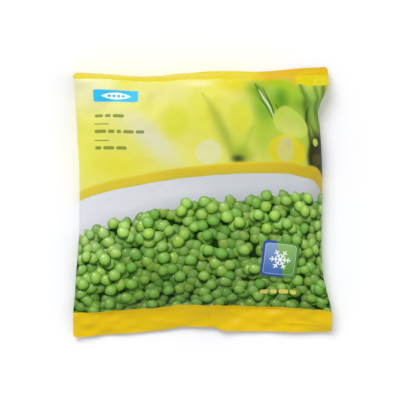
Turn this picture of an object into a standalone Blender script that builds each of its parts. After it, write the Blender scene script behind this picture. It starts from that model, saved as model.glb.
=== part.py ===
"""A frozen vegetable bag: a filled pillow pouch of printed film, sealed flat at both ends, lying on its back.

Metres, +Z up. +X runs to the bag's right and +Y from its bottom seal to its top seal. The origin is on the
table, under the middle of the bag's outline. The sealed bag is one closed solid: a front and a back film,
which meet along both sides and in both seals. A point on a film has two coordinates: u runs from -1 on the
left to 1 on the right, and v from 0 at the bottom seal's inner line to 1 at the top seal's.
"""

import math

import bmesh
import bpy
from mathutils import Vector

NAME = "bag"

SEAL = 0.0175  # film length of each end seal, from its inner line to its free edge
SEAL_BEND = 0.009  # part of that length beyond the bend that runs along the seal's middle
WELD = 0.0008  # thickness where the two films are sealed together
LOFT = 0.0275  # height of the filled front film above the side seams
BOTTOM_LOFT_POWER = 4  # how squarely the filling rises from the bottom seal, and from the top seal
TOP_LOFT_POWER = 6
SIDE_SEAM_Z = 0.0085  # height of the side seams between the corners
SEAM_EASE = 0.1  # share of the bag's length over which the seams leave the seal lines' height

COLUMNS = 44
BODY_ROWS = 38
SEAL_ROWS = 4
ROWS = BODY_ROWS + 2 * SEAL_ROWS

# The outline from above, as points of smooth curves: (u, y) of the free edges and (v, x) of the sides.
BOTTOM_EDGE = [(-1, -0.1043), (-0.55, -0.1009), (-0.27, -0.0983), (-0.18, -0.0963),
               (0.09, -0.0965), (0.16, -0.0989), (0.5, -0.0996), (1, -0.1004)]
TOP_EDGE = [(-1, 0.1003), (-0.75, 0.0998), (-0.45, 0.0976), (-0.15, 0.1004),
            (0.15, 0.1019), (0.45, 0.1016), (0.8, 0.1042), (1, 0.1050)]
LEFT_SIDE = [(0, -0.0996), (0.19, -0.0973), (0.36, -0.0957), (0.65, -0.0942), (0.88, -0.0949), (1, -0.0980)]
RIGHT_SIDE = [(0, 0.1002), (0.07, 0.0990), (0.165, 0.0949), (0.30, 0.0922), (0.60, 0.0922),
              (0.78, 0.0905), (0.86, 0.0887), (0.92, 0.0918), (1, 0.0973)]

# How the seals lie: (u, z) of the free edge, and (u, degrees) that the strip slopes down on each side of its bend.
BOTTOM_EDGE_Z = [(-1, 0.0022), (-0.7, 0.0008), (-0.2, 0.0008), (0.12, 0.0026), (0.25, 0.0008),
                 (0.8, 0.0008), (1, 0.0022)]
TOP_EDGE_Z = [(-1, 0.0016), (-0.7, 0.0008), (0.3, 0.0010), (0.6, 0.0012), (0.85, 0.0045), (1, 0.0070)]
BOTTOM_SLOPE = [(-1, 22), (-0.5, 24), (-0.15, 36), (0.08, 30), (0.17, 9), (0.6, 18), (1, 40)]
TOP_OUTER_SLOPE = [(-1, 74), (-0.45, 86), (-0.2, 74), (0.2, 70), (0.5, 58), (0.8, 44), (1, 42)]
TOP_INNER_SLOPE = [(-1, 80), (0.1, 82), (0.45, 87), (0.68, 80), (0.82, 34), (1, 24)]

# Pleats in the filled film beside each seal: waves across the bag, deepest a little way in from the line.
PLEAT_DEPTH = 0.0013
PLEAT_REACH = 0.014
PLEAT_START = 0.003
PLEAT_WAVES = [(5.5, 0.4), (8.3, 2.1), (12.1, 4.0)]  # waves across the bag, and each one's phase

# The crease that runs in from the pinch in the right side.
PINCH_Y = 0.067
PINCH_HALF_WIDTH = 0.006
PINCH_REACH = 0.016
PINCH_DEPTH = 0.005

# The underside lies flat on the table and turns up to the seams only close to the edges.
SIDE_TURN_POWER = 14
END_TURN_POWER = 16
FLAT_LIMIT = 0.02


def smooth_curve(points, t):
    """The value at t on a smooth curve through the points (t, value)."""
    last = len(points) - 1

    def slope(i):
        before = points[max(i - 1, 0)]
        after = points[min(i + 1, last)]
        return (after[1] - before[1]) / (after[0] - before[0])

    i = 0
    while i < last - 1 and t > points[i + 1][0]:
        i += 1
    (t0, a), (t1, b) = points[i], points[i + 1]
    width = t1 - t0
    s = min(max((t - t0) / width, 0.0), 1.0)
    return (
        a * (1 + 2 * s) * (1 - s) ** 2
        + slope(i) * width * s * (1 - s) ** 2
        + b * s * s * (3 - 2 * s)
        - slope(i + 1) * width * s * s * (1 - s)
    )


def side_to_side(u, v):
    """The x of the film at (u, v), between the two side outlines."""
    left = smooth_curve(LEFT_SIDE, v)
    right = smooth_curve(RIGHT_SIDE, v)
    return left + (right - left) * (u + 1) / 2


def seal_point(u, v, distance):
    """A point of a seal's middle surface, that far from its free edge, and the strip's slope there."""
    if v == 0:
        edge_y, edge_z, inward = smooth_curve(BOTTOM_EDGE, u), smooth_curve(BOTTOM_EDGE_Z, u), 1
        outer = inner = math.radians(smooth_curve(BOTTOM_SLOPE, u))
    else:
        edge_y, edge_z, inward = smooth_curve(TOP_EDGE, u), smooth_curve(TOP_EDGE_Z, u), -1
        outer = math.radians(smooth_curve(TOP_OUTER_SLOPE, u))
        inner = math.radians(smooth_curve(TOP_INNER_SLOPE, u))
    beyond = min(distance, SEAL_BEND)
    within = distance - beyond
    across = beyond * math.cos(outer) + within * math.cos(inner)
    rise = beyond * math.sin(outer) + within * math.sin(inner)
    slope = outer if distance < SEAL_BEND else inner
    return side_to_side(u, v), edge_y + inward * across, edge_z + rise, -inward * slope


def on_seal(u, v, distance, side):
    """The film's point on a seal: the front film on the strip's upper face, the back film on its lower."""
    x, y, z, slope = seal_point(u, v, distance)
    half = side * WELD / 2
    z_face = z + half * math.cos(slope)
    return x, y + half * math.sin(slope), max(z_face, 0.0) if side < 0 else z_face


def pleats(u, inside):
    """Height of the pleats at a distance inside the nearer seal line."""
    wave = sum(math.cos(math.pi * count * u + phase) for count, phase in PLEAT_WAVES) / len(PLEAT_WAVES)
    return PLEAT_DEPTH * wave * (1 - math.exp(-inside / PLEAT_START)) * math.exp(-inside / PLEAT_REACH)


def pinch(x, y, v):
    """Depth of the crease that runs in from the pinched right side."""
    inwards = smooth_curve(RIGHT_SIDE, v) - x
    return PINCH_DEPTH * math.exp(-(((y - PINCH_Y) / PINCH_HALF_WIDTH) ** 2)) * math.exp(-inwards / PINCH_REACH)


def on_body(u, v, side):
    """The film's point between the seals: the lofted front film, or the back film flat on the table."""
    _, bottom_y, bottom_z, _ = seal_point(u, 0, SEAL)
    _, top_y, top_z, _ = seal_point(u, 1, SEAL)
    x = side_to_side(u, v)
    y = bottom_y + (top_y - bottom_y) * v
    along = abs(2 * v - 1)
    seam_z = (
        SIDE_SEAM_Z
        + (bottom_z - SIDE_SEAM_Z) * math.exp(-v / SEAM_EASE)
        + (top_z - SIDE_SEAM_Z) * math.exp(-(1 - v) / SEAM_EASE)
    )
    if side < 0:
        turn = 1 - (1 - abs(u) ** SIDE_TURN_POWER) * (1 - along ** END_TURN_POWER)
        lifted = max(turn - FLAT_LIMIT, 0) / (1 - FLAT_LIMIT)
        return x, y, max(seam_z - WELD / 2, 0) * lifted
    power = BOTTOM_LOFT_POWER if v < 0.5 else TOP_LOFT_POWER
    fullness = math.sqrt(max(1 - u * u, 0)) * (1 - along ** power)
    inside = (top_y - bottom_y) * min(v, 1 - v)
    fade_to_sides = math.sqrt(max(1 - u ** 4, 0))
    relief = (pleats(u, inside) - pinch(x, y, v)) * fade_to_sides
    return x, y, seam_z + WELD / 2 + LOFT * fullness + relief


def film_point(u, row, side):
    """The film's point in a row, counted from the bottom seal's free edge to the top seal's."""
    if row <= SEAL_ROWS:
        return on_seal(u, 0, SEAL * row / SEAL_ROWS, side)
    if row >= ROWS - SEAL_ROWS:
        return on_seal(u, 1, SEAL * (ROWS - row) / SEAL_ROWS, side)
    return on_body(u, (row - SEAL_ROWS) / BODY_ROWS, side)


def centre_on_origin(shape):
    """Move the bag level, until the middle of its outline is over the origin."""
    xs = [vertex.co.x for vertex in shape.verts]
    ys = [vertex.co.y for vertex in shape.verts]
    middle = ((min(xs) + max(xs)) / 2, (min(ys) + max(ys)) / 2, 0)
    for vertex in shape.verts:
        vertex.co -= Vector(middle)


def build_bag():
    """Two grids of film, joined all round their border, with each vertex set on its film."""
    shape = bmesh.new()
    bmesh.ops.create_grid(shape, x_segments=COLUMNS, y_segments=ROWS, size=1)
    bmesh.ops.solidify(shape, geom=shape.faces[:], thickness=1)
    middle = sum(vertex.co.z for vertex in shape.verts) / len(shape.verts)
    for vertex in shape.verts:
        row = round((vertex.co.y + 1) / 2 * ROWS)
        side = 1 if vertex.co.z > middle else -1
        vertex.co = film_point(vertex.co.x, row, side)
    centre_on_origin(shape)
    bmesh.ops.recalc_face_normals(shape, faces=shape.faces)
    mesh = bpy.data.meshes.new(NAME)
    shape.to_mesh(mesh)
    shape.free()
    mesh.shade_smooth()
    return bpy.data.objects.new(NAME, mesh)


def film_material():
    """Glossy printed film, given as the print's average yellow-green."""
    material = bpy.data.materials.new("printed_film")
    material.use_nodes = True
    surface = material.node_tree.nodes["Principled BSDF"]
    surface.inputs["Base Color"].default_value = (0.48, 0.58, 0.09, 1)
    surface.inputs["Roughness"].default_value = 0.35
    surface.inputs["Metallic"].default_value = 0
    return material


def main():
    for old in list(bpy.data.objects):
        bpy.data.objects.remove(old, do_unlink=True)
    collection = bpy.data.collections.new("frozen_vegetable_bag")
    bpy.context.scene.collection.children.link(collection)
    bag = build_bag()
    bag.data.materials.append(film_material())
    collection.objects.link(bag)


main()
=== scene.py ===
import math

import bmesh
import bpy
import numpy as np
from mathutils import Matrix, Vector


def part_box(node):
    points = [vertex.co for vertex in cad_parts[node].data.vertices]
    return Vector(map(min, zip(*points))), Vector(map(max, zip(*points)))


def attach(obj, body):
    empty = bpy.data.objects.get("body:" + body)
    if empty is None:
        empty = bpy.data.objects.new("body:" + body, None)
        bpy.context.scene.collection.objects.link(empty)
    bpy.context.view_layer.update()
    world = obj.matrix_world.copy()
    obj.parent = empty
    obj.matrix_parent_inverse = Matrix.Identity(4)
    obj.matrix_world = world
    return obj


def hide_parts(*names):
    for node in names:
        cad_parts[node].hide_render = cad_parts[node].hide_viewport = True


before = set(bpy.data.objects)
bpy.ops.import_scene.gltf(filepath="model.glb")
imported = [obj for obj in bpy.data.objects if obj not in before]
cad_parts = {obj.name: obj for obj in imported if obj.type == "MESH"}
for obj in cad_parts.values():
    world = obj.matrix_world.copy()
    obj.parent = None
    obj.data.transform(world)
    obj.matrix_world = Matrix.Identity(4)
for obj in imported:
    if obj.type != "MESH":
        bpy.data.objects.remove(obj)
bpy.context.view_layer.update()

BAG_LOW, BAG_HIGH = (np.array(corner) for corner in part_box("bag"))

# ---------------------------------------------------------------------------------------------------------
# The film's sizes. A point on the film has two coordinates: u runs from -1 at the left side to 1 at the
# right, and v from 0 at the bottom seal's inner line to 1 at the top seal's.

MM = 0.001
FLAT_WIDTH = 0.200
BODY_LENGTH = 0.196  # film between the two seals' inner lines
SEAL = 0.0175
SEAL_BEND = 0.009  # the part of a seal beyond the bend along its middle
FILM = 0.00016  # thickness of a seal's two films

COLUMNS = 60  # cells of the simulated film across the bag, and along it
BODY_ROWS = 57
FINER = 3  # each simulated cell is divided this finely for the final film
FINE_SEAL_ROWS = 30

# The outline of the CAD solid, as (u, y) along the free edges and (v, x) along the sides.
BOTTOM_EDGE = [(-1, -0.1043), (-0.55, -0.1009), (-0.27, -0.0983), (-0.18, -0.0963),
               (0.09, -0.0965), (0.16, -0.0989), (0.5, -0.0996), (1, -0.1004)]
TOP_EDGE = [(-1, 0.1003), (-0.75, 0.0998), (-0.45, 0.0976), (-0.15, 0.1004),
            (0.15, 0.1019), (0.45, 0.1016), (0.8, 0.1042), (1, 0.1050)]
LEFT_SIDE = [(0, -0.0996), (0.19, -0.0972), (0.36, -0.0948), (0.60, -0.0946), (0.72, -0.0958),
             (0.82, -0.0968), (0.94, -0.0982), (1, -0.0989)]
RIGHT_SIDE = [(0, 0.1002), (0.07, 0.0983), (0.165, 0.0940), (0.30, 0.0924), (0.60, 0.0928),
              (0.78, 0.0911), (0.86, 0.0894), (0.92, 0.0918), (1, 0.0973)]

# How the seals lie: (u, z) of each free edge, and (u, degrees) of slope on each side of the bend.
BOTTOM_EDGE_Z = [(-1, 0.0044), (-0.7, 0.0034), (-0.2, 0.0036), (0.12, 0.0050), (0.25, 0.0040),
                 (0.8, 0.0040), (1, 0.0046)]
TOP_EDGE_Z = [(-1, 0.0016), (-0.7, 0.0008), (0.3, 0.0010), (0.6, 0.0012), (0.85, 0.0038), (1, 0.0056)]
BOTTOM_SLOPE = [(-1, 15), (-0.5, 15), (-0.15, 25), (0.08, 21), (0.17, 1), (0.6, 8), (1, 30)]
TOP_OUTER_SLOPE = [(-1, 74), (-0.45, 86), (-0.2, 74), (0.2, 70), (0.5, 58), (0.8, 44), (1, 42)]
TOP_INNER_SLOPE = [(-1, 80), (0.1, 82), (0.45, 87), (0.68, 80), (0.82, 34), (1, 24)]


def smooth_curve(points, t):
    """The values at t on a smooth curve through the points (t, value)."""
    places, values = np.array(points, float).T
    slopes = np.gradient(values, places)
    slopes[1:-1] = (values[2:] - values[:-2]) / (places[2:] - places[:-2])
    i = np.clip(np.searchsorted(places, t) - 1, 0, len(places) - 2)
    width = places[i + 1] - places[i]
    s = np.clip((t - places[i]) / width, 0, 1)
    return (
        values[i] * (1 + 2 * s) * (1 - s) ** 2
        + slopes[i] * width * s * (1 - s) ** 2
        + values[i + 1] * s * s * (3 - 2 * s)
        - slopes[i + 1] * width * s * s * (1 - s)
    )


def side_to_side(u, v):
    """The x of the film at (u, v), between the two side outlines."""
    left = smooth_curve(LEFT_SIDE, v)
    right = smooth_curve(RIGHT_SIDE, v)
    return left + (right - left) * (u + 1) / 2


def seal_strip(top, u, distance):
    """Points and slopes of a seal's middle surface, at these distances from its free edge."""
    u, distance = np.meshgrid(u, distance)
    if top:
        edge_y, edge_z, inward = smooth_curve(TOP_EDGE, u), smooth_curve(TOP_EDGE_Z, u), -1
        outer = np.radians(smooth_curve(TOP_OUTER_SLOPE, u))
        inner = np.radians(smooth_curve(TOP_INNER_SLOPE, u))
    else:
        edge_y, edge_z, inward = smooth_curve(BOTTOM_EDGE, u), smooth_curve(BOTTOM_EDGE_Z, u), 1
        outer = inner = np.radians(smooth_curve(BOTTOM_SLOPE, u))
    beyond = np.minimum(distance, SEAL_BEND)
    within = distance - beyond
    y = edge_y + inward * (beyond * np.cos(outer) + within * np.cos(inner))
    z = edge_z + beyond * np.sin(outer) + within * np.sin(inner)
    slope = -inward * np.where(distance < SEAL_BEND, outer, inner)
    return np.stack([side_to_side(u, float(top)), y, z], -1), slope


# ---------------------------------------------------------------------------------------------------------
# The filled body, as simulated cloth: two films joined along their sides and pinned at the seals' lines.

SCALE = 10  # the cloth solver is given the bag ten times its size
WAIST = 0.05  # how far the sides start drawn in
PILLOW = 0.014  # height of the front film's start above the seams
UNEVEN = 0.0002
PINCH_V = 0.855  # where the right side is pinched in
PINCH_DEPTH = 0.006
VOLUME = 0.00105
STEPS = 60
CALMING = 3  # rounds of smoothing that follow


def start_shape():
    """Front and back films before the bag is filled, as arrays of rows and columns of points."""
    u = np.linspace(-1, 1, COLUMNS + 1)
    v = np.linspace(0, 1, BODY_ROWS + 1)[:, None]
    bottom = seal_strip(False, u, [SEAL])[0][0]
    top = seal_strip(True, u, [SEAL])[0][0]
    seam = bottom * (1 - v)[..., None] + top * v[..., None]
    rounded = np.sqrt(np.clip(4 * v * (1 - v), 0, 1))
    seam[..., 0] *= 1 - WAIST * rounded
    rim = np.clip((np.abs(u) - 0.6) / 0.4, 0, 1)
    pinch = PINCH_DEPTH * np.exp(-((v - PINCH_V) / 0.037) ** 2) * rim * (u > 0)
    seam[..., 0] -= pinch
    pillow = np.sqrt(np.clip(1 - u * u, 0, 1)) * rounded
    uneven = np.random.default_rng(3).normal(0, UNEVEN, pillow.shape) * (pillow > 0)
    front, back = seam.copy(), seam.copy()
    front[..., 2] += PILLOW * pillow + uneven
    back[..., 2] -= 0.6 * seam[..., 2] * pillow - uneven
    return front, back


def numbered_films():
    """Vertex numbers of the front and back films, which share the vertices of their whole border."""
    front = np.arange((BODY_ROWS + 1) * (COLUMNS + 1)).reshape(BODY_ROWS + 1, COLUMNS + 1)
    back = front.copy()
    back[1:-1, 1:-1] = front.size + np.arange((BODY_ROWS - 1) * (COLUMNS - 1)).reshape(BODY_ROWS - 1, -1)
    return front, back


def quads(grid):
    """The faces of a grid of vertex numbers."""
    corners = grid[:-1, :-1], grid[:-1, 1:], grid[1:, 1:], grid[1:, :-1]
    return np.stack(corners, -1).reshape(-1, 4)


def new_mesh(name, points, faces):
    mesh = bpy.data.meshes.new(name)
    mesh.from_pydata(points.reshape(-1, 3).tolist(), [], faces.tolist())
    mesh.update()
    return mesh


def link(name, data):
    piece = bpy.data.objects.new(name, data)
    bpy.context.scene.collection.objects.link(piece)
    return piece


def vertex_group(piece, name, numbers):
    group = piece.vertex_groups.new(name=name)
    group.add([int(number) for number in np.unique(numbers)], 1.0, "REPLACE")


def simulate_body():
    """Fill the bag: the film's front and back as arrays of points, after the cloth has settled."""
    front_numbers, back_numbers = numbered_films()
    front, back = start_shape()
    points = np.concatenate([front.reshape(-1, 3), back[1:-1, 1:-1].reshape(-1, 3)]) * SCALE
    faces = np.concatenate([quads(front_numbers), quads(back_numbers)[:, ::-1]])
    film = link("simulated_film", new_mesh("simulated_film", points, faces))
    vertex_group(film, "seals", front_numbers[[0, -1]])
    table = new_mesh("table", np.array([(-5, -5, 0), (5, -5, 0), (5, 5, 0), (-5, 5, 0)]), np.array([[0, 1, 2, 3]]))
    table = link("table", table)
    table.modifiers.new("Collision", "COLLISION")
    table.collision.thickness_outer = 0.005
    table.collision.cloth_friction = 1
    cloth = film.modifiers.new("Cloth", "CLOTH")
    settings = cloth.settings
    settings.vertex_group_mass = "seals"
    settings.quality = 8
    settings.mass = 0.3
    settings.tension_stiffness = settings.compression_stiffness = settings.shear_stiffness = 150
    settings.bending_stiffness = 0.3
    settings.bending_damping = 0.5
    settings.air_damping = 2
    settings.shrink_min = -0.055
    settings.use_pressure = True
    settings.uniform_pressure_force = 0
    settings.fluid_density = 1
    settings.use_pressure_volume = True
    settings.target_volume = VOLUME * SCALE ** 3
    settings.pressure_factor = 20
    cloth.collision_settings.distance_min = 0.01
    cloth.collision_settings.use_self_collision = False
    cloth.point_cache.frame_start = 1
    cloth.point_cache.frame_end = STEPS
    scene = bpy.context.scene
    for step in range(1, STEPS + 1):
        scene.frame_set(step)
    settled = film.evaluated_get(bpy.context.evaluated_depsgraph_get()).data
    points = np.empty(len(settled.vertices) * 3)
    settled.vertices.foreach_get("co", points)
    points = points.reshape(-1, 3) / SCALE
    for temporary in (film, table):
        bpy.data.objects.remove(temporary, do_unlink=True)
    scene.frame_set(1)
    return points[front_numbers], points[back_numbers]


def finer(points, factor, closed=False):
    """The rows of an array of points, divided more finely along a smooth spline."""
    if closed:
        padded = np.concatenate([points[-1:], points, points[:2]])
        count = len(points) * factor
    else:
        padded = np.concatenate([2 * points[:1] - points[1:2], points, 2 * points[-1:] - points[-2:-1]])
        padded = np.concatenate([padded, padded[-1:]])
        count = (len(points) - 1) * factor + 1
    i, part = np.divmod(np.arange(count), factor)
    t = (part / factor).reshape(-1, 1, 1)
    return (
        padded[i] * (1 - t) ** 3
        + padded[i + 1] * (3 * t ** 3 - 6 * t ** 2 + 4)
        + padded[i + 2] * (-3 * t ** 3 + 3 * t ** 2 + 3 * t + 1)
        + padded[i + 3] * t ** 3
    ) / 6


def calmed(film):
    """A film's array of points with its smallest wrinkles smoothed, away from its border."""
    film = film.copy()
    for _ in range(CALMING):
        inside = film[1:-1, 1:-1]
        around = (film[:-2, 1:-1] + film[2:, 1:-1] + film[1:-1, :-2] + film[1:-1, 2:]) / 4
        film[1:-1, 1:-1] = (inside + around) / 2
    return film


def fine_body():
    """The filled body's film as fine front and back arrays, fitted to the CAD solid's outline."""
    front, back = (calmed(film) for film in simulate_body())
    ring = np.concatenate([front, back[:, -2:0:-1]], 1)
    ring = finer(ring.transpose(1, 0, 2), FINER, closed=True).transpose(1, 0, 2)
    ring = finer(ring, FINER)
    columns = COLUMNS * FINER
    front = ring[:, :columns + 1]
    back = np.concatenate([ring[:, columns:], ring[:, :1]], 1)[:, ::-1]
    u = np.linspace(-1, 1, columns + 1)
    v = np.linspace(0, 1, BODY_ROWS * FINER + 1)[:, None]
    left = smooth_curve(LEFT_SIDE, v[:, 0]) - front[:, 0, 0]
    right = smooth_curve(RIGHT_SIDE, v[:, 0]) - front[:, -1, 0]
    left, right = left[:, None], right[:, None]
    lines = seal_strip(False, u, [SEAL])[0][0], seal_strip(True, u, [SEAL])[0][0]
    films = []
    for film in (front, back):
        film = film.copy()
        film[..., 0] += np.where(u < 0, left, right) * np.abs(u) ** 4
        for line, row, inside in ((lines[0], 0, v), (lines[1], -1, 1 - v)):
            error = line - film[row]
            film += error * np.exp(-(inside * BODY_LENGTH / 0.006) ** 2)[..., None]
        films.append(film)
    return films


# ---------------------------------------------------------------------------------------------------------
# The final film: the body with its seals, front and back, and the coordinates that its print follows.

LUMP_SPACING = 0.0092  # the peas inside show as low lumps
LUMP_HEIGHT = 0.0003
LUMP_RADIUS = 0.0036
GATHER_HEIGHT = 0.00036  # small gathers that cross the seals' inner lines
RUMPLE = 0.018  # height of a seal's broad waves, as a share of their length
CORNER = 0.0032  # radius of the seals' corners
# Creases pressed into the bottom seal: from and to as (u, distance from the free edge), height and half width.
CREASES = [
    ((0.0, 0.0175), (0.08, 0.0), -0.0014, 0.004),
    ((0.105, 0.0175), (0.165, 0.0), 0.0008, 0.0016),
    ((0.30, 0.0068), (0.62, 0.0064), 0.0004, 0.0008),
    ((0.55, 0.0072), (0.97, 0.0062), 0.0009, 0.0008),
    ((0.0, 0.0098), (0.08, 0.0096), 0.00035, 0.0005),
    ((-0.40, 0.0150), (-0.22, 0.0120), 0.0005, 0.0012),
    ((-0.56, 0.0100), (-0.30, 0.0085), 0.00035, 0.0009),
    ((-0.64, 0.0140), (-0.56, 0.0105), 0.0004, 0.0012),
    ((-0.20, 0.0010), (-0.12, 0.0110), 0.0006, 0.0014),
    ((0.22, 0.0150), (0.30, 0.0125), 0.0004, 0.0010),
    ((0.52, 0.0160), (0.62, 0.0130), 0.0003, 0.0010),
]
TOP_CREASES = [
    ((0.78, 0.0085), (0.83, 0.0160), 0.0007, 0.0012),
    ((0.86, 0.0088), (0.89, 0.0140), 0.0005, 0.0012),
    ((0.40, 0.0095), (0.66, 0.0090), 0.0003, 0.0006),
]


def surface_normals(points):
    """Unit normals of a grid of points, on the side where its rows run up and its columns run right."""
    across = np.gradient(points, axis=1)
    up = np.gradient(points, axis=0)
    normal = np.cross(across, up)
    return normal / np.maximum(np.linalg.norm(normal, axis=-1, keepdims=True), 1e-12)


def lumps(x, y, seed):
    """Heights of the peas' low lumps at these places on the film."""
    random = np.random.default_rng(seed)
    height = np.zeros_like(x)
    for row, centre_y in enumerate(np.arange(-0.092, 0.093, LUMP_SPACING * 0.87)):
        for centre_x in np.arange(-0.094, 0.095, LUMP_SPACING) + LUMP_SPACING / 2 * (row % 2):
            shift_x, shift_y, size = random.uniform(-1, 1, 3)
            away = np.hypot(x - centre_x - 0.0028 * shift_x, y - centre_y - 0.0028 * shift_y)
            height += (0.65 + 0.35 * size) * np.exp(-(away / LUMP_RADIUS) ** 2)
    return LUMP_HEIGHT * height


def gathers(u, seed):
    """Heights of small gathers along a seal, as uneven waves 6 to 24 mm long."""
    random = np.random.default_rng(seed)
    height = np.zeros_like(u)
    for wavelength in (0.024, 0.017, 0.013, 0.0095, 0.0075, 0.006):
        phase, size = random.uniform(0, math.tau), random.uniform(0.4, 1)
        height += size * np.sin(math.tau * u * FLAT_WIDTH / 2 / wavelength + phase)
    return GATHER_HEIGHT * height / 2


def rumples(x, y, seed):
    """Heights of a seal's faint waves, most of them along it."""
    random = np.random.default_rng(seed)
    height = np.zeros(np.broadcast(x, y).shape)
    for wavelength in (0.021, 0.016, 0.012, 0.0095, 0.0075):
        for _ in range(2):
            heading, phase, size = random.uniform(0, 1, 3)
            heading = math.pi * (0.3 + 0.4 * heading)
            along = x * math.cos(heading) + y * math.sin(heading)
            height += (0.4 + 0.6 * size) * wavelength * np.sin(math.tau * (along / wavelength + phase))
    return RUMPLE * height


def crease_heights(creases, u, distance):
    """Heights of sharp little ridges on a seal's strip."""
    x = u * FLAT_WIDTH / 2
    height = np.zeros(np.broadcast(x, distance).shape)
    for (start_u, start_y), (end_u, end_y), size, width in creases:
        start = np.array([start_u * FLAT_WIDTH / 2, start_y])
        reach = np.array([end_u * FLAT_WIDTH / 2, end_y]) - start
        t = np.clip(((x - start[0]) * reach[0] + (distance - start[1]) * reach[1]) / (reach @ reach), 0, 1)
        away = np.hypot(x - start[0] - t * reach[0], distance - start[1] - t * reach[1])
        height += size * np.exp(-away / width) * np.sin(math.pi * np.clip(t, 0.08, 0.92))
    return height


def round_corners(strip, u, distance):
    """A seal's strip with its two outer corners rounded."""
    depth = np.clip(CORNER - distance, 0, CORNER)
    inset = CORNER - np.sqrt(CORNER ** 2 - depth ** 2)
    strip = strip.copy()
    strip[..., 0] -= np.sign(u) * inset[:, None] * np.abs(u) ** 40
    return strip


def offset_strip(strip, slope, side, height):
    """One face of a seal: its middle surface moved out by half the film, and by a height that both faces share."""
    out = side * FILM / 2 + height
    shift = np.stack([0 * slope, out * np.sin(slope), out * np.cos(slope)], -1)
    return strip + shift


def film_sheets(u, along):
    """Front and back sheets of the whole film, as arrays of points."""
    seal_distances = np.linspace(0, SEAL, FINE_SEAL_ROWS + 1)
    body_y = along[FINE_SEAL_ROWS:-FINE_SEAL_ROWS, None]
    flat_x = u * FLAT_WIDTH / 2
    from_ends = BODY_LENGTH / 2 - np.abs(body_y)
    sheets = []
    for number, (film, side) in enumerate(zip(fine_body(), (1, -1))):
        strips = []
        for top, distances, creases in ((False, seal_distances, CREASES), (True, seal_distances[::-1], TOP_CREASES)):
            strip, slope = seal_strip(top, u, distances)
            inward = (distances / SEAL)[:, None]
            height = gathers(u, 5 + top) * inward + crease_heights(creases, u, distances[:, None])
            height += rumples(flat_x, distances[:, None], 21 + top) * (0.5 if top else 1.0)
            strips.append(offset_strip(round_corners(strip, u, distances), slope, side, height))
        bottom, top = strips
        normal = surface_normals(film) * side
        fade = np.clip(from_ends / 0.012, 0, 1) * np.clip((1 - np.abs(u)) / 0.09, 0, 1)
        off_floor = np.clip((film[..., 2] - 0.002) / 0.004, 0, 1)
        film = film + normal * (lumps(flat_x + 0 * body_y, body_y + 0 * flat_x, 11 + number) * fade * off_floor)[..., None]
        for strip, row, inside in ((bottom[-1], 0, BODY_LENGTH / 2 + body_y), (top[0], -1, BODY_LENGTH / 2 - body_y)):
            error = strip - film[row]
            film = film + error * np.exp(-inside / 0.005)[..., None]
        sheets.append(np.concatenate([bottom[:-1], film, top[1:]]))
    for row in range(FINE_SEAL_ROWS + 1, len(along) - FINE_SEAL_ROWS - 1):  # the body's sides have no gap
        for column in (0, -1):
            middle = (sheets[0][row, column] + sheets[1][row, column]) / 2
            sheets[0][row, column] = sheets[1][row, column] = middle
    return sheets


FIN_COLUMNS = 10  # the back seam's fin is this many columns wide
FIN_THICKNESS = 0.00014
FIN_EMBED = 0.00003


def strip_between(edge, other_edge):
    return np.stack([edge[:-1], other_edge[:-1], other_edge[1:], edge[1:]], -1)


def shell(outer, inner):
    """The faces of a thin closed shell between two grids of vertex numbers."""
    return np.concatenate([
        quads(outer),
        quads(inner)[:, ::-1],
        strip_between(outer[0], inner[0]),
        strip_between(inner[-1], outer[-1]),
        strip_between(inner[:, 0], outer[:, 0]),
        strip_between(outer[:, -1], inner[:, -1]),
    ])


def build_film():
    u = np.linspace(-1, 1, COLUMNS * FINER + 1)
    seal_distances = np.linspace(0, SEAL, FINE_SEAL_ROWS + 1)
    along = np.concatenate([
        seal_distances[:-1] - SEAL,
        np.linspace(0, BODY_LENGTH, BODY_ROWS * FINER + 1),
        BODY_LENGTH + SEAL - seal_distances[-2::-1],
    ]) - BODY_LENGTH / 2
    front, back = film_sheets(u, along)

    middle = len(u) // 2
    fin_back = back[:, middle:middle + FIN_COLUMNS + 1]
    fin_normal = -surface_normals(back)[:, middle:middle + FIN_COLUMNS + 1]
    fin_inner = fin_back - fin_normal * FIN_EMBED
    fin_outer = fin_back + fin_normal * FIN_THICKNESS

    sheets = [front, back, fin_inner, fin_outer]
    points = np.concatenate([sheet.reshape(-1, 3) for sheet in sheets])
    grids = []
    first = 0
    for sheet in sheets:
        count = sheet[..., 0].size
        grids.append(np.arange(first, first + count).reshape(sheet.shape[:2]))
        first += count
    low, high = points.min(0), points.max(0)
    points[:, :2] += (BAG_LOW + BAG_HIGH - low - high)[:2] / 2
    points[:, 2] += BAG_LOW[2] - low[2]

    film_faces = shell(grids[0], grids[1])
    fin_faces = shell(grids[2], grids[3])
    mesh = new_mesh("bag", points, np.concatenate([film_faces, fin_faces]))
    place_print(mesh, u, along, sheets)
    weld(mesh)
    mesh.shade_smooth()
    mesh.set_sharp_from_angle(angle=math.radians(60))
    return link("printed_bag", mesh)


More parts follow.
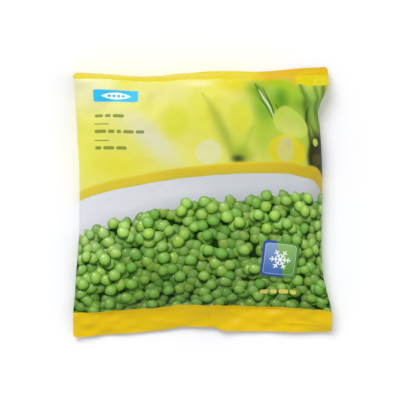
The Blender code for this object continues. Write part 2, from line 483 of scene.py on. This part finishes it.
def place_print(mesh, u, along, sheets):
    """Give each corner of each face its place on the flat film: the back's halves run out to the back seam."""
    across = u * FLAT_WIDTH / 2
    middle = len(u) // 2
    fin = across[middle:middle + FIN_COLUMNS + 1]
    columns = [across, across, fin, fin]
    x = np.concatenate([np.tile(column, len(along)) for column in columns])
    y = np.concatenate([np.repeat(along, len(column)) for column in columns])
    sizes = [sheet[..., 0].size for sheet in sheets]
    on_back = np.repeat([False, True, True, True], sizes)
    corners = np.empty(len(mesh.loops), int)
    mesh.loops.foreach_get("vertex_index", corners)
    faces = corners.reshape(-1, 4)
    face_back = on_back[faces].all(1)
    face_right = x[faces].mean(1) > 0
    turned = np.where(face_right, FLAT_WIDTH, -FLAT_WIDTH)[:, None] - x[faces]
    face_x = np.where(face_back[:, None], turned, x[faces])
    uv = mesh.uv_layers.new(name="film")
    uv.data.foreach_set("uv", np.stack([face_x.ravel(), y[corners]], -1).ravel())


def weld(mesh):
    """Join the front and back films along the body's sides, where their points are in the same places."""
    shape = bmesh.new()
    shape.from_mesh(mesh)
    bmesh.ops.remove_doubles(shape, verts=shape.verts, dist=1e-7)
    shape.to_mesh(mesh)
    shape.free()


# ---------------------------------------------------------------------------------------------------------
# The print. It is painted by nodes in the flat film's own millimetres: x runs across from the middle of the
# front, on round the sides to the back seam at -200 and 200, and y up from the middle of the bag.


def srgb(red, green, blue):
    """A colour given as 0 to 255 on a screen, as the linear colour that nodes work in."""
    return [(c / 255 / 12.92 if c <= 10 else ((c / 255 + 0.055) / 1.055) ** 2.4) for c in (red, green, blue)]


class Value:
    """A number or vector at each point of a surface: its arithmetic is done by nodes."""

    def __init__(self, nodes, socket):
        self.nodes = nodes
        self.socket = socket

    def __add__(self, other):
        return self.nodes.math("ADD", self, other)

    def __sub__(self, other):
        return self.nodes.math("SUBTRACT", self, other)

    def __rsub__(self, other):
        return self.nodes.math("SUBTRACT", other, self)

    def __mul__(self, other):
        return self.nodes.math("MULTIPLY", self, other)

    def __truediv__(self, other):
        return self.nodes.math("DIVIDE", self, other)

    __radd__ = __add__
    __rmul__ = __mul__


class Nodes:
    """A node tree, with short ways to add nodes to it."""

    def __init__(self, tree):
        self.tree = tree

    def add(self, kind, inputs=None, output=0, **settings):
        node = self.tree.nodes.new(kind)
        for name, setting in settings.items():
            setattr(node, name, setting)
        for place, value in (inputs or {}).items():
            if isinstance(value, Value):
                self.tree.links.new(value.socket, node.inputs[place])
            else:
                node.inputs[place].default_value = value
        return Value(self, node.outputs[output])

    def math(self, operation, *values, clamp=False):
        return self.add("ShaderNodeMath", dict(enumerate(values)), operation=operation, use_clamp=clamp)

    def vector(self, operation, *values, output=0):
        return self.add("ShaderNodeVectorMath", dict(enumerate(values)), output, operation=operation)

    def length(self, vector):
        return self.vector("LENGTH", vector, output="Value")

    def dot(self, a, b):
        return self.vector("DOT_PRODUCT", a, b, output="Value")

    def scaled(self, vector, factor):
        return self.add("ShaderNodeVectorMath", {"Vector": vector, "Scale": factor}, operation="SCALE")

    def step(self, value, start, end):
        """0 at start and beyond it, and 1 at end, with a smooth change between them."""
        inputs = {"Value": value, "From Min": start, "From Max": end}
        return self.add("ShaderNodeMapRange", inputs, interpolation_type="SMOOTHSTEP", clamp=False)

    def placed(self, point, centre, angle=0.0, size=(1, 1)):
        """A point as seen from a shape's centre, along its own axes and in its own half sizes."""
        inputs = {"Vector": point, "Location": (*centre, 0), "Rotation": (0, 0, math.radians(angle)),
                  "Scale": (*size, 1)}
        return self.add("ShaderNodeMapping", inputs, vector_type="TEXTURE")

    def xyz(self, vector):
        node = self.tree.nodes.new("ShaderNodeSeparateXYZ")
        self.tree.links.new(vector.socket, node.inputs[0])
        return [Value(self, output) for output in node.outputs]

    def rgb(self, colour):
        node = self.tree.nodes.new("ShaderNodeSeparateColor")
        self.tree.links.new(colour.socket, node.inputs[0])
        return [Value(self, output) for output in node.outputs]

    def combine(self, x, y, z=0.0):
        return self.add("ShaderNodeCombineXYZ", {0: x, 1: y, 2: z})

    def colour(self, rgb):
        """A socket's value for a colour given as 0 to 255, or for a colour that nodes work out."""
        if isinstance(rgb, Value):
            return rgb
        return (*srgb(*rgb), 1)

    def mix(self, factor, under, over, blend="MIX"):
        inputs = {"Factor": factor, 6: self.colour(under), 7: self.colour(over)}
        return self.add("ShaderNodeMix", inputs, 2, data_type="RGBA", blend_type=blend)

    def tinted(self, colour, red, green, blue):
        """A colour with its red, green and blue multiplied by these."""
        factors = self.add("ShaderNodeCombineColor", {0: red, 1: green, 2: blue})
        return self.mix(1.0, colour, factors, "MULTIPLY")

    def ellipse(self, point, centre, size, angle=0.0, soft=0.05):
        """1 inside an ellipse and 0 outside it, softened over this share of its half sizes."""
        local = {"Vector": self.placed(point, centre, angle, size)}
        from_edge = self.add("ShaderNodeTexGradient", local, "Fac", gradient_type="SPHERICAL")
        return self.step(from_edge, 0, soft)

    def rounded_box(self, point, centre, size, corner, angle=0.0, soft=0.25):
        """1 inside a box with rounded corners and 0 outside it, softened over this many millimetres."""
        local = self.vector("ABSOLUTE", self.placed(point, centre, angle))
        beyond = self.vector("SUBTRACT", local, (size[0] - corner, size[1] - corner, 0))
        distance = self.length(self.vector("MAXIMUM", beyond, (0, 0, 0)))
        return self.step(distance, corner + soft / 2, corner - soft / 2)

    def blade(self, point, root, tip, width, bend, soft):
        """1 inside a leaf of grass from root to tip, of this half width, its middle bent aside."""
        reach = (tip[0] - root[0], tip[1] - root[1])
        angle = math.degrees(math.atan2(reach[1], reach[0]))
        along, across, _ = self.xyz(self.placed(point, root, angle, (math.hypot(*reach), 1)))
        t = self.add("ShaderNodeClamp", {"Value": along})
        arch = t * (1 - t) * 4
        aside = self.math("ABSOLUTE", across - arch * bend)
        half = self.math("POWER", arch, 0.6) * width
        return self.step(aside / (half + 0.02), 1, 1 - soft)

    def ramp(self, value, stops):
        """A colour from stops of (place, colour)."""
        node = self.tree.nodes.new("ShaderNodeValToRGB")
        self.tree.links.new(value.socket, node.inputs[0])
        elements = node.color_ramp.elements
        while len(elements) < len(stops):
            elements.new(0.5)
        for element, (place, rgb) in zip(elements, stops):
            element.position = place
            element.color = self.colour(rgb)
        return Value(self, node.outputs["Color"])


# The blurred garden behind the bowl, as lists of soft shapes painted one over another; one glow near the top
# middle is not garden but a painted highlight, the film's whitish sheen. A glow has a centre, half sizes, an angle,
# a colour and a strength.
GARDEN_BASE = (231, 229, 112)
GLOWS_AND_SHEEN = [
    ((-98, 38), (32, 46), 0, (241, 238, 92), 0.85),
    ((-100, 88), (66, 38), 0, (243, 241, 196), 0.95),
    ((-60, 91), (13, 15), 0, (226, 224, 60), 0.7),
    ((-26, 82), (46, 18), 0, (227, 223, 136), 0.9),
    ((-56, 58), (36, 16), -20, (232, 230, 156), 0.7),
    ((-64, 22), (40, 20), -8, (233, 226, 56), 0.85),
    ((-37, 43), (44, 15), -46, (228, 226, 190), 1.0),
    ((72, 54), (60, 66), 0, (172, 200, 56), 1.0),
    ((4, 64), (24, 44), 0, (226, 225, 68), 0.85),
    # painted highlight: the film's whitish sheen where it curves down towards the top seal
    ((-3, 88), (20, 6), 0, (247, 232, 170), 0.9),
    ((26, 88), (24, 15), 0, (222, 208, 4), 0.95),
    ((30, 40), (13, 34), 0, (206, 218, 72), 0.9),
    ((17, 46), (10, 36), 24, (180, 194, 60), 0.8),
    ((30, 28), (15, 14), 0, (146, 172, 44), 0.9),
    ((46, 50), (13, 30), 0, (174, 202, 50), 0.8),
    ((60, 78), (36, 30), 0, (146, 188, 40), 1.0),
    ((72, 84), (22, 24), 0, (160, 202, 44), 0.9),
    ((63, 76), (11, 17), 0, (88, 148, 30), 0.9),
    ((44, 84), (14, 12), 0, (114, 158, 22), 0.8),
    ((48, 66), (12, 22), 16, (116, 168, 44), 0.75),
    ((58, 92), (28, 9), 0, (170, 186, 4), 0.9),
    ((93, 76), (22, 44), 0, (128, 172, 62), 1.0),
    ((100, 58), (10, 28), 0, (84, 100, 40), 0.7),
]
# A leaf of grass has its root, tip, half width, bend, softness, colour and strength.
LEAVES = [
    ((26, 20), (0, 80), 6.5, -2.5, 1.4, (160, 178, 56), 0.6),
    ((30, 20), (40, 54), 5.0, 1.5, 1.4, (150, 186, 44), 0.4),
    ((70, 112), (94, 40), 5.0, 3.5, 1.2, (82, 122, 38), 0.9),
    ((83, 110), (100, 54), 3.6, 3.0, 1.2, (92, 134, 42), 0.85),
    ((93, 108), (103, 60), 4.0, 1.0, 1.2, (74, 108, 40), 0.85),
    ((80, 100), (95, 60), 2.4, 3.0, 1.1, (150, 194, 84), 0.75),
    ((90, 102), (98, 72), 1.6, 1.0, 1.1, (156, 196, 96), 0.6),
    ((88, 28), (89, 78), 3.4, 2.0, 1.2, (44, 58, 20), 0.95),
    ((42, 90), (58, 56), 4.4, 1.0, 1.0, (78, 128, 42), 0.95),
    ((45, 85), (57, 60), 1.5, 0.6, 0.8, (212, 228, 174), 0.95),
    ((48, 87), (58, 61), 0.8, 0.6, 0.8, (38, 72, 24), 0.9),
    ((43, 80), (54, 64), 0.7, 0.6, 0.8, (56, 92, 34), 0.8),
    ((58, 72), (63, 65), 0.7, -0.4, 0.8, (36, 66, 22), 0.9),
]
# Discs of light out of focus: centre, radii, softness, colour and strength.
DISCS = [
    ((-20, 56), (15, 19), 0.6, (221, 222, 52), 0.7),
    ((29, 59), (12, 15), 0.4, (219, 222, 62), 0.8),
    ((94, 42), (13, 17), 0.6, (58, 68, 26), 0.9),
    ((97, 32), (17.5, 20), 0.3, (52, 52, 20), 1.0),
    ((5, 31), (10.8, 10.5), 0.14, (229, 228, 170), 0.95),
    ((27.5, 26.5), (8, 5.2), 0.9, (76, 88, 42), 1.0),
    ((71, 58.5), (16.5, 14), 0.14, (194, 214, 88), 0.95),
    ((69, 54), (14, 11), 0.6, (208, 215, 106), 0.8),
    ((65.5, 33.5), (16, 14), 0.14, (220, 212, 40), 1.0),
    ((77, 38), (6, 10), 0.8, (228, 202, 30), 0.6),
    ((64, 34), (7.4, 11), 0.2, (214, 210, 120), 0.9),
    ((66.5, 41), (5, 7), 0.8, (200, 194, 150), 0.7),
    ((91.5, 45), (3.1, 3.6), 0.25, (186, 208, 92), 0.95),
    ((92, 31), (5.5, 5.5), 0.3, (92, 84, 34), 0.7),
]


GARDEN_TONE = (0.89, 0.89, 0.86)
RIM_TONE = 0.93


def garden(n, point):
    colour = GARDEN_BASE
    for centre, size, angle, rgb, strength in GLOWS_AND_SHEEN:
        colour = n.mix(n.ellipse(point, centre, size, angle, 1.0) * strength, colour, rgb)
    for root, tip, width, bend, soft, rgb, strength in LEAVES:
        colour = n.mix(n.blade(point, root, tip, width, bend, soft) * strength, colour, rgb)
    for centre, size, soft, rgb, strength in DISCS:
        colour = n.mix(n.ellipse(point, centre, size, 0, soft) * strength, colour, rgb)
    return n.tinted(colour, *GARDEN_TONE)


# Peas. Their light comes from above and a little from the left, as in the studio.
PEA_SHADES = [(0.0, (14, 54, 0)), (0.16, (46, 94, 14)), (0.4, (94, 144, 44)), (0.68, (124, 171, 72)),
              (0.88, (148, 190, 104)), (1.0, (172, 208, 136))]
PEA_LIGHT = (-0.14, 0.56, 0.81)
PEA_GLINT = (-0.26, 0.50, 0.82)
YELLOWER = (250, 234, 178)  # tints that some peas are multiplied by
BLUER = (176, 228, 170)
PEA_SHADOW = (46, 84, 26)
GAP = (8, 38, 0)

# Layers of peas from the deepest up: offset, turn in radians, spacing, share present, room needed round each
# pea as a share of its radius, tone and strength of shadow.
PEA_RADIUS = 5.15
PEA_LAYERS = [
    ((3.1, 7.7, 0), 0.4, 7.2, 1.0, 0.0, 0.68, 0.0),
    ((40.3, 21.9, 0), 1.1, 9.0, 0.97, 0.60, 0.92, 0.7),
    ((71.7, 63.2, 0), 1.9, 10.2, 0.84, 0.80, 1.04, 0.75),
    ((12.4, 91.6, 0), 0.2, 11.3, 0.62, 0.88, 1.09, 0.8),
]


def pea_layer():
    """A node group that paints one layer of scattered peas."""
    tree = bpy.data.node_groups.new("pea_layer", "ShaderNodeTree")
    for name, kind in (("Point", "Vector"), ("Offset", "Vector"), ("Turn", "Float"), ("Spacing", "Float"),
                       ("Share", "Float"), ("Room", "Float"), ("Tone", "Float")):
        tree.interface.new_socket(name, in_out="INPUT", socket_type="NodeSocket" + kind)
    for name, kind in (("Colour", "Color"), ("Cover", "Float"), ("Shadow", "Float")):
        tree.interface.new_socket(name, in_out="OUTPUT", socket_type="NodeSocket" + kind)
    n = Nodes(tree)
    entry = tree.nodes.new("NodeGroupInput")
    point, offset, turn, spacing, share, room, tone = (Value(n, socket) for socket in list(entry.outputs)[:7])

    turned = n.add("ShaderNodeVectorRotate", {"Vector": point, "Angle": turn}, rotation_type="Z_AXIS")
    cell = n.scaled(n.vector("ADD", turned, offset), n.math("DIVIDE", 1.0, spacing))
    scatter = {"Vector": cell, "Scale": 1, "Randomness": 0.7}
    centre = n.add("ShaderNodeTexVoronoi", scatter, "Position", voronoi_dimensions="2D")
    chance = n.add("ShaderNodeTexVoronoi", scatter, "Color", voronoi_dimensions="2D")
    free = n.add("ShaderNodeTexVoronoi", scatter, "Radius", voronoi_dimensions="2D", feature="N_SPHERE_RADIUS")
    free = free * spacing
    chance = n.rgb(chance)
    away = n.scaled(n.vector("SUBTRACT", cell, centre), spacing)
    away = n.add("ShaderNodeVectorRotate", {"Vector": away, "Angle": turn}, rotation_type="Z_AXIS", invert=True)
    middle_x, middle_y, _ = n.xyz(n.vector("SUBTRACT", point, away))
    present = n.math("LESS_THAN", middle_y, heap_line(middle_x))
    present = present * n.math("LESS_THAN", chance[2], share)
    present = present * n.math("GREATER_THAN", free, room * PEA_RADIUS)

    size = (0.86 + 0.22 * chance[0]) * PEA_RADIUS
    angle = chance[1] * math.tau
    lean = n.combine(n.math("COSINE", angle), n.math("SINE", angle))
    stretch = n.dot(away, lean) * (0.2 * chance[0] - 0.02)
    shaped = n.scaled(n.vector("ADD", away, n.scaled(lean, stretch)), n.math("DIVIDE", 1.0, size))
    distance = n.length(shaped)
    cover = n.step(distance, 1.0, 0.93) * present
    height = n.math("SQRT", n.math("MAXIMUM", 1 - distance * distance, 0.0))
    across, up, _ = n.xyz(shaped)
    normal = n.combine(across, up, height)
    light = n.dot(normal, PEA_LIGHT) * 0.58 + height * 0.40
    colour = n.ramp(light, PEA_SHADES)
    colour = n.mix(n.step(chance[1], 0.35, 1.0) * 0.6, colour, n.mix(1.0, colour, YELLOWER, "MULTIPLY"))
    colour = n.mix(n.step(chance[1], 0.4, 0.0) * 0.6, colour, n.mix(1.0, colour, BLUER, "MULTIPLY"))
    glint = n.step(n.dot(normal, PEA_GLINT), 0.968, 0.992) * n.step(chance[0], 0.2, 0.9)
    colour = n.mix(glint * 0.6, colour, (222, 238, 200))
    tone = tone * (0.88 + 0.24 * chance[1])
    colour = n.tinted(colour, tone, tone, tone)
    below = n.length(n.vector("SUBTRACT", away, (0.4, -1.5, 0)))
    shadow = n.step(below / size, 1.2, 0.9) * present
    leave = tree.nodes.new("NodeGroupOutput")
    for place, value in enumerate((colour, cover, shadow)):
        tree.links.new(value.socket, leave.inputs[place])
    return tree


def heap_line(x):
    """The height that the centres of the highest peas reach, across the film."""
    from_crown = x - 90.0
    return -0.4 - 0.00086 * from_crown * from_crown


def rim_line(n, x):
    """The lower edge of the bowl's rim: a shallow arch that turns down steeply at its right end."""
    left = n.math("MINIMUM", x - 45.0, 0.0)
    right = n.math("MAXIMUM", x - 82.5, 0.0)
    dip = n.step(n.math("ABSOLUTE", x - 2.0), 40, 0)
    return 15.3 - 0.00095 * left * left - 1.6 * dip - 0.05 * right * right


def peas(n, point, colour):
    """The heap of peas, over a colour."""
    layer = pea_layer()
    x, y, _ = n.xyz(point)
    warp = n.add("ShaderNodeTexNoise", {"Vector": point, "Scale": 0.12, "Detail": 1.0}, "Color",
                 noise_dimensions="2D")
    aside, up, _ = n.rgb(warp)
    warped = n.vector("ADD", point, n.combine((aside - 0.5) * 1.8, (up - 0.5) * 1.8))
    above = y - heap_line(x)
    colour = n.mix(n.step(above, 11.0, -3.0) * 0.3, colour, n.mix(1.0, colour, (160, 170, 166), "MULTIPLY"))
    heap = GAP
    covered = n.step(above, -2.0, -5.0)
    for offset, turn, spacing, share, room, tone, shadow in PEA_LAYERS:
        group = n.tree.nodes.new("ShaderNodeGroup")
        group.node_tree = layer
        n.tree.links.new(warped.socket, group.inputs["Point"])
        for name, value in (("Offset", offset), ("Turn", turn), ("Spacing", spacing), ("Share", share),
                            ("Room", room), ("Tone", tone)):
            group.inputs[name].default_value = value
        painted, cover, shade = (Value(n, socket) for socket in group.outputs)
        heap = n.mix(shade * shadow, heap, n.mix(1.0, heap, PEA_SHADOW, "MULTIPLY"))
        heap = n.mix(cover, heap, painted)
        covered = n.math("MAXIMUM", covered, cover)
    lit = n.step(y, -96, 0)
    low = n.step(y, -62, -94)
    # Paler and bluer at the upper left: partly the print's paler peas, partly a painted sheen of the film's gloss
    # over them.
    pale = n.ellipse(point, (-78, -30), (60, 36), 0, 1.0)
    heap = n.tinted(
        heap,
        0.97 + 0.26 * lit - 0.22 * low + 0.24 * pale,
        1.0 + 0.18 * lit - 0.17 * low + 0.13 * pale,
        0.90 + 0.17 * lit - 0.26 * low + 0.58 * pale,
    )
    skin = n.add("ShaderNodeTexNoise", {"Vector": point, "Scale": 0.9, "Detail": 2.0}, "Fac", noise_dimensions="2D")
    skin = 0.84 + 0.32 * skin
    heap = n.tinted(heap, skin, skin, skin)
    heap = n.mix(n.ellipse(point, (-36, -66), (52, 34), 0, 1.0) * 0.4, heap,
                 n.mix(1.0, heap, (168, 200, 132), "MULTIPLY"))
    return n.mix(covered, colour, heap)


# Where the real pack has its label, words, badge and weight, this one has plain shapes of their size.
LABEL_BLUE = (48, 186, 236)
INK = (104, 122, 38)
DASH_LINES = [  # start and height above the middle of the bag, and the lengths of the dashes
    ((-81.6, 61.4), (6.5, 4.5, 8.5)),
    ((-81.6, 49.1), (9.0, 5.0, 3.5, 8.0, 6.5)),
    ((-81.6, 36.3), (5.0, 8.5, 8.0)),
]
DASH_GAP = 1.5
DASH_HALF_HEIGHT = 1.3
RULES = (54.8, 42.0)
BADGE = (59.4, -53.0)
BADGE_ANGLE = -5.0


def label(n, point, colour):
    """A plain blue label with a pod of four peas on it."""
    middle = (-66.1, 78.0)
    colour = n.mix(n.rounded_box(point, middle, (17.2, 4.9), 1.4, 1.0), colour, LABEL_BLUE)
    x, y, _ = n.xyz(n.placed(point, middle, 1.0))
    across = x / 11.5
    pod = n.step(n.math("ABSOLUTE", y) / n.math("MAXIMUM", 2.9 * (1 - across * across), 0.01), 1.05, 0.95)
    colour = n.mix(pod * n.step(n.math("ABSOLUTE", across), 1.0, 0.98), colour, (244, 250, 252))
    for place in (-5.4, -1.8, 1.8, 5.4):
        pea = n.ellipse(n.combine(x, y), (place, 0), (1.35, 1.35), 0, 0.2)
        colour = n.mix(pea, colour, LABEL_BLUE)
    return colour


def dashes(n, point, colour, start, lengths, half_height, rgb, strength):
    x, y = start
    for length in lengths:
        centre = (x + length / 2, y)
        dash = n.rounded_box(point, centre, (length / 2, half_height), half_height * 0.8)
        colour = n.mix(dash * strength, colour, rgb)
        x += length + DASH_GAP
    return colour


def badge(n, point, colour):
    """A tilted square badge, half blue and half green, with a white snow crystal."""
    colour = n.mix(n.rounded_box(point, (60.2, -54.0), (15.4, 15.4), 4.4, BADGE_ANGLE, 2.0) * 0.6, colour,
                   (34, 60, 34))
    local = n.placed(point, BADGE, BADGE_ANGLE)
    x, y, _ = n.xyz(local)
    inside = n.rounded_box(local, (0, 0), (14.8, 14.8), 3.8)
    field = n.rounded_box(local, (0, 0), (12.8, 12.8), 2.6)
    blue = n.mix(n.step(y, -13, 13), (70, 112, 182), (132, 158, 200))
    green = n.mix(n.step(y, 13, -13), (140, 186, 104), (96, 156, 66))
    split = n.step(x + y * 0.3, -0.3, 0.3)
    face = n.mix(split, blue, green)
    edge = n.mix(split, (52, 84, 160), (88, 140, 66))
    colour = n.mix(inside, colour, n.mix(field, edge, face))
    outline = field - n.rounded_box(local, (0, 0), (12.3, 12.3), 2.2)
    colour = n.mix(outline * 0.5, colour, (214, 226, 224))

    distance = n.length(local)
    turn = n.math("ARCTAN2", y, x)
    folded = n.math("PINGPONG", turn, math.pi / 6)
    out = distance * n.math("COSINE", folded)
    aside = distance * n.math("SINE", folded)
    crystal = n.step(aside, 0.62, 0.42) * n.step(out, 8.8, 8.5)
    for place, length in ((2.9, 2.4), (5.6, 2.6)):
        from_branch = out - place
        off_line = n.math("ABSOLUTE", from_branch * math.sin(math.pi / 3) - aside * math.cos(math.pi / 3))
        along = from_branch * math.cos(math.pi / 3) + aside * math.sin(math.pi / 3)
        branch = n.step(off_line, 0.5, 0.34) * n.step(along, length, length - 0.3) * n.step(along, -0.3, 0.0)
        crystal = n.math("MAXIMUM", crystal, branch)
    return n.mix(crystal, colour, (242, 247, 248))


# One yellow ink makes both end bands. The top band's colours are painted shade over it: a little darker, a darker
# orange on its right part, and a lemon patch that stays lighter on the seal's inner slope at the right corner.
BAND_YELLOW = (229, 192, 16)
TOP_SHADED_YELLOW = (212, 194, 4)
TOP_SHADED_ORANGE = (206, 168, 0)
LEMON = (208, 194, 0)


def front_print(n, point):
    """The whole front print's colour."""
    x, y, _ = n.xyz(point)
    colour = garden(n, point)
    colour = label(n, point, colour)
    for start, lengths in DASH_LINES:
        colour = dashes(n, point, colour, start, lengths, DASH_HALF_HEIGHT, INK, 0.8)
    for height in RULES:
        colour = n.mix(n.rounded_box(point, (-76.1, height), (5.5, 0.35), 0.1), colour, INK)

    above = y - rim_line(n, x)
    share = above / (9.0 + 0.01 * x + 6.0 * n.step(x, 78, 102))
    rim = n.ramp(share, [(0.0, (196, 180, 52)), (0.25, (206, 186, 50)), (0.7, (216, 188, 40)),
                         (1.0, (228, 206, 52))])
    rim = n.mix(n.step(x, 30, 100) * 0.7, rim, (194, 164, 26))
    rim = n.mix(n.step(x, 30, -100) * 0.5, rim, (226, 210, 72))
    bowl = n.mix(n.step(x, -100, 60), (220, 223, 229), (202, 206, 210))
    bowl = n.mix(n.step(x, 76, 100) * 0.8, bowl, (190, 184, 176))
    bowl = n.tinted(bowl, RIM_TONE, RIM_TONE, RIM_TONE)
    rim = n.tinted(rim, RIM_TONE, RIM_TONE, RIM_TONE)
    colour = n.mix(n.step(share, 1.08, 0.86), colour, rim)
    colour = n.mix(n.step(above, 0.3, -0.3), colour, bowl)
    colour = peas(n, point, colour)
    colour = badge(n, point, colour)
    colour = dashes(n, point, colour, (44.7, -81.0), (6.5, 5.5, 7.5, 4.5), 1.8, (226, 208, 104), 0.85)
    return colour


def end_bands(n, x, y):
    """1 on the yellow bands at the film's two ends."""
    wave = n.add("ShaderNodeTexNoise", {"W": x, "Scale": 0.09, "Detail": 1.5}, "Fac", noise_dimensions="1D")
    y = y + (wave - 0.5) * 1.8
    rising = n.step(x, 40, 85) * 4.6
    top = n.step(y - rising, 92.5, 93.1)
    lobe = n.ellipse(n.combine(x, y), (73, 97), (3.5, 5), 0, 0.2)
    return n.math("MAXIMUM", n.step(y, -95.5, -95.9), n.math("MAXIMUM", top, lobe))


def end_yellow(n, x, y):
    """The bands' colours: the top's, painted darker than the bottom band's yellow as shade, runs from yellow through
    orange to lemon below an orange edge.
    """
    lemon = n.step(x, 70, 77) * n.step(x, 112, 105) * n.step(y, 106.8, 106.2)
    top = n.mix(n.step(x, 36, 56), TOP_SHADED_YELLOW, TOP_SHADED_ORANGE)
    top = n.mix(lemon, top, LEMON)
    return n.mix(n.step(y, 0, -1), top, BAND_YELLOW)


BACK_FIELD = (236, 218, 84)
PANEL = (246, 244, 230)
PANEL_INK = (132, 138, 96)


def back_print(n, across, y):
    """The back's colour: pale panels with rows of thin lines, across from the back seam in millimetres."""
    point = n.combine(across, y)
    colour = n.mix(n.step(y, -90, 90), (226, 200, 44), BACK_FIELD)
    row = n.math("FLOOR", y / 4.4)
    in_row = n.math("ABSOLUTE", n.math("FRACT", y / 4.4) - 0.5)
    chance = n.add("ShaderNodeTexWhiteNoise", {"W": row}, "Value", noise_dimensions="1D")
    line = n.step(in_row, 0.14, 0.10)
    for centre, size in (((-46, 6), (33, 68)), ((52, 38), (30, 36)), ((52, -34), (30, 28))):
        panel = n.rounded_box(point, centre, size, 4.0)
        colour = n.mix(panel, colour, PANEL)
        inner = n.rounded_box(point, centre, (size[0] - 4, size[1] - 5), 0.5)
        reach = (centre[0] - size[0] + 4) + (size[0] - 4) * 2 * (0.55 + 0.45 * chance)
        colour = n.mix(inner * line * n.step(across - reach, 0.2, -0.2) * 0.7, colour, PANEL_INK)
    return colour


# How the film shines: smooth print, with a slight unevenness and fine scuffs.
ROUGHNESS = (0.28, 0.40)
CRINKLE = 0.00012


def film_material():
    material = bpy.data.materials.new("printed_film")
    material.use_nodes = True
    n = Nodes(material.node_tree)
    shader = material.node_tree.nodes["Principled BSDF"]
    coordinates = n.add("ShaderNodeUVMap", uv_map="film")
    point = n.scaled(coordinates, 1 / MM)
    x, y, _ = n.xyz(point)
    from_middle = n.math("ABSOLUTE", x)
    across = x - n.math("SIGN", x) * 200.0
    colour = n.mix(n.step(from_middle, 112.9, 113.1), front_print(n, point), back_print(n, across, y))
    colour = n.mix(end_bands(n, x, y), colour, end_yellow(n, x, y))
    scuffs = n.add("ShaderNodeTexNoise", {"Vector": point, "Scale": 0.035, "Detail": 4.0, "Roughness": 0.6}, "Fac")
    roughness = n.add("ShaderNodeMapRange", {"Value": scuffs, "From Min": 0.3, "From Max": 0.7,
                                             "To Min": ROUGHNESS[0], "To Max": ROUGHNESS[1]})
    crinkle = n.add("ShaderNodeTexNoise", {"Vector": point, "Scale": 0.16, "Detail": 3.0, "Distortion": 0.8}, "Fac")
    bump = n.add("ShaderNodeBump", {"Height": crinkle, "Distance": CRINKLE, "Strength": 1.0}, "Normal")
    for value, name in ((colour, "Base Color"), (roughness, "Roughness"), (bump, "Normal")):
        material.node_tree.links.new(value.socket, shader.inputs[name])
    shader.inputs["Specular IOR Level"].default_value = 0.11
    return material


# ---------------------------------------------------------------------------------------------------------

# The studio: a white floor, a large soft lamp above and to the left, weaker ones opposite, and an even room.

ROOM_LOW = 0.98  # brightness of the room at the floor's level, and straight above
ROOM_HIGH = 0.22
LAMPS = [  # name, direction towards it, strength, and angle across in degrees
    ("key", (-0.42, 0.9, 1.0), 2.0, 38),
    ("fill", (0.8, -0.1, 1.0), 0.45, 60),
    ("front", (0.0, -0.9, 1.0), 0.15, 60),
]


def stage():
    bpy.ops.mesh.primitive_plane_add(size=6)
    floor = bpy.context.object
    floor.name = "floor"
    material = bpy.data.materials.new("floor")
    material.use_nodes = True
    shader = material.node_tree.nodes["Principled BSDF"]
    shader.inputs["Base Color"].default_value = (0.95, 0.953, 0.985, 1)
    shader.inputs["Roughness"].default_value = 1.0
    shader.inputs["Specular IOR Level"].default_value = 0.0
    floor.data.materials.append(material)


def lights():
    world = bpy.data.worlds.new("studio")
    world.use_nodes = True
    n = Nodes(world.node_tree)
    background = world.node_tree.nodes["Background"]
    _, _, up = n.xyz(n.add("ShaderNodeTexCoord", output="Generated"))
    brightness = n.add("ShaderNodeMapRange", {"Value": up, "To Min": ROOM_LOW, "To Max": ROOM_HIGH})
    world.node_tree.links.new(brightness.socket, background.inputs["Strength"])
    background.inputs["Color"].default_value = (1, 1, 1, 1)
    bpy.context.scene.world = world
    for name, direction, strength, angle in LAMPS:
        lamp = bpy.data.lights.new(name, "SUN")
        lamp.energy = strength
        lamp.angle = math.radians(angle)
        link(name, lamp).rotation_euler = Vector(direction).to_track_quat("Z", "Y").to_euler()


def camera():
    data = bpy.data.cameras.new("camera")
    data.lens = 160
    eye = link("camera", data)
    eye.location = (-0.0018, 0.0018, 1.38)
    bpy.context.scene.camera = eye


def main():
    bag = build_film()
    bag.data.materials.append(film_material())
    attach(bag, "root")
    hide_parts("bag")
    stage()
    lights()
    camera()
    bpy.context.scene.view_settings.view_transform = "Standard"


main()
